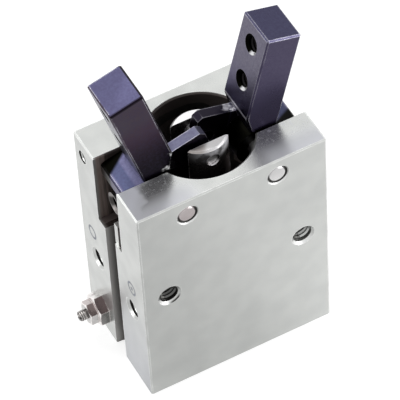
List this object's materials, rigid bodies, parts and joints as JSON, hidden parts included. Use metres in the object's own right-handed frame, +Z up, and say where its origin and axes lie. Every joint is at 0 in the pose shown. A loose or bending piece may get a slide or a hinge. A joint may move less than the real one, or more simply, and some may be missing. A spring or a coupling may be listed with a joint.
{
  "type": "pneumatic angular gripper",
  "caption": "Pneumatic gripper: block body with a finger slot, pivoting dark steel fingers worked by a forked piston rod, side air ports and a speed needle.",
  "frame": {"origin": "centre of the locating recess in the base, on the base plane", "axes": "+Z up from the base to the fingers, X from left finger to right finger, +Y to the rear; the ports and the needle are on the -X side"},
  "size_m": [0.0486, 0.0276, 0.0813],
  "materials": {
    "anodised_aluminium": "pale satin anodised",
    "bare_aluminium": "turned",
    "black_steel": "blue black oxide, ground",
    "ground_steel": "ground",
    "polished_steel": "bright turned",
    "dark_steel": "phosphated",
    "plated_steel": "plated",
    "plated_brass": "plated",
    "bonded_magnet": "matte",
    "seal_rubber": "matte",
    "bumper_rubber": "matte"
  },
  "bodies": {
    "housing": {"body": "anodised_aluminium", "left_pivot_pin": "ground_steel", "right_pivot_pin": "ground_steel", "pin_lock_screws": "dark_steel", "rod_cover": "bare_aluminium", "rod_seal": "seal_rubber", "rod_cover_o_ring": "seal_rubber", "rod_cover_snap_ring": "dark_steel", "end_cap": "bare_aluminium", "end_cap_o_ring": "seal_rubber", "end_cap_snap_ring": "dark_steel", "needle_guide": "plated_steel", "needle_o_ring": "seal_rubber", "needle_lock_nut": "plated_brass", "channel_plug": "ground_steel"},
    "left_lever": {"left_finger": "black_steel"},
    "right_lever": {"right_finger": "black_steel"},
    "piston_group": {"piston": "bare_aluminium", "piston_rod": "polished_steel", "drive_pin": "ground_steel", "piston_seal": "seal_rubber", "magnet_ring": "bonded_magnet", "piston_nut": "plated_steel", "lower_bumper": "bumper_rubber", "upper_bumper": "bumper_rubber"},
    "needle_screw": {"speed_needle": "plated_steel"}
  },
  "joints": [
    {"name": "left_finger_hinge", "type": "hinge", "parent": "housing", "child": "left_lever", "pos_m": [-0.0102, 0, 0.0525], "axis": [0, 1, 0], "range_deg": [0, 20]},
    {"name": "right_finger_hinge", "type": "hinge", "parent": "housing", "child": "right_lever", "pos_m": [0.0102, 0, 0.0525], "axis": [0, -1, 0], "range_deg": [0, 20]},
    {"name": "piston_slide", "type": "slide", "parent": "housing", "child": "piston_group", "axis": [0, 0, -1], "range_m": [0, 0.00363]},
    {"name": "speed_needle_turn", "type": "hinge", "parent": "housing", "child": "needle_screw", "pos_m": [-0.0214, 0.00765, 0.0065], "axis": [-1, 0, 0], "range_deg": [-360, 720]}
  ],
  "couplings": [
    {"joint": "right_finger_hinge", "follows": "left_finger_hinge", "ratio": 1},
    {"joint": "piston_slide", "follows": "left_finger_hinge", "m_per_rad": 0.010386}
  ]
}
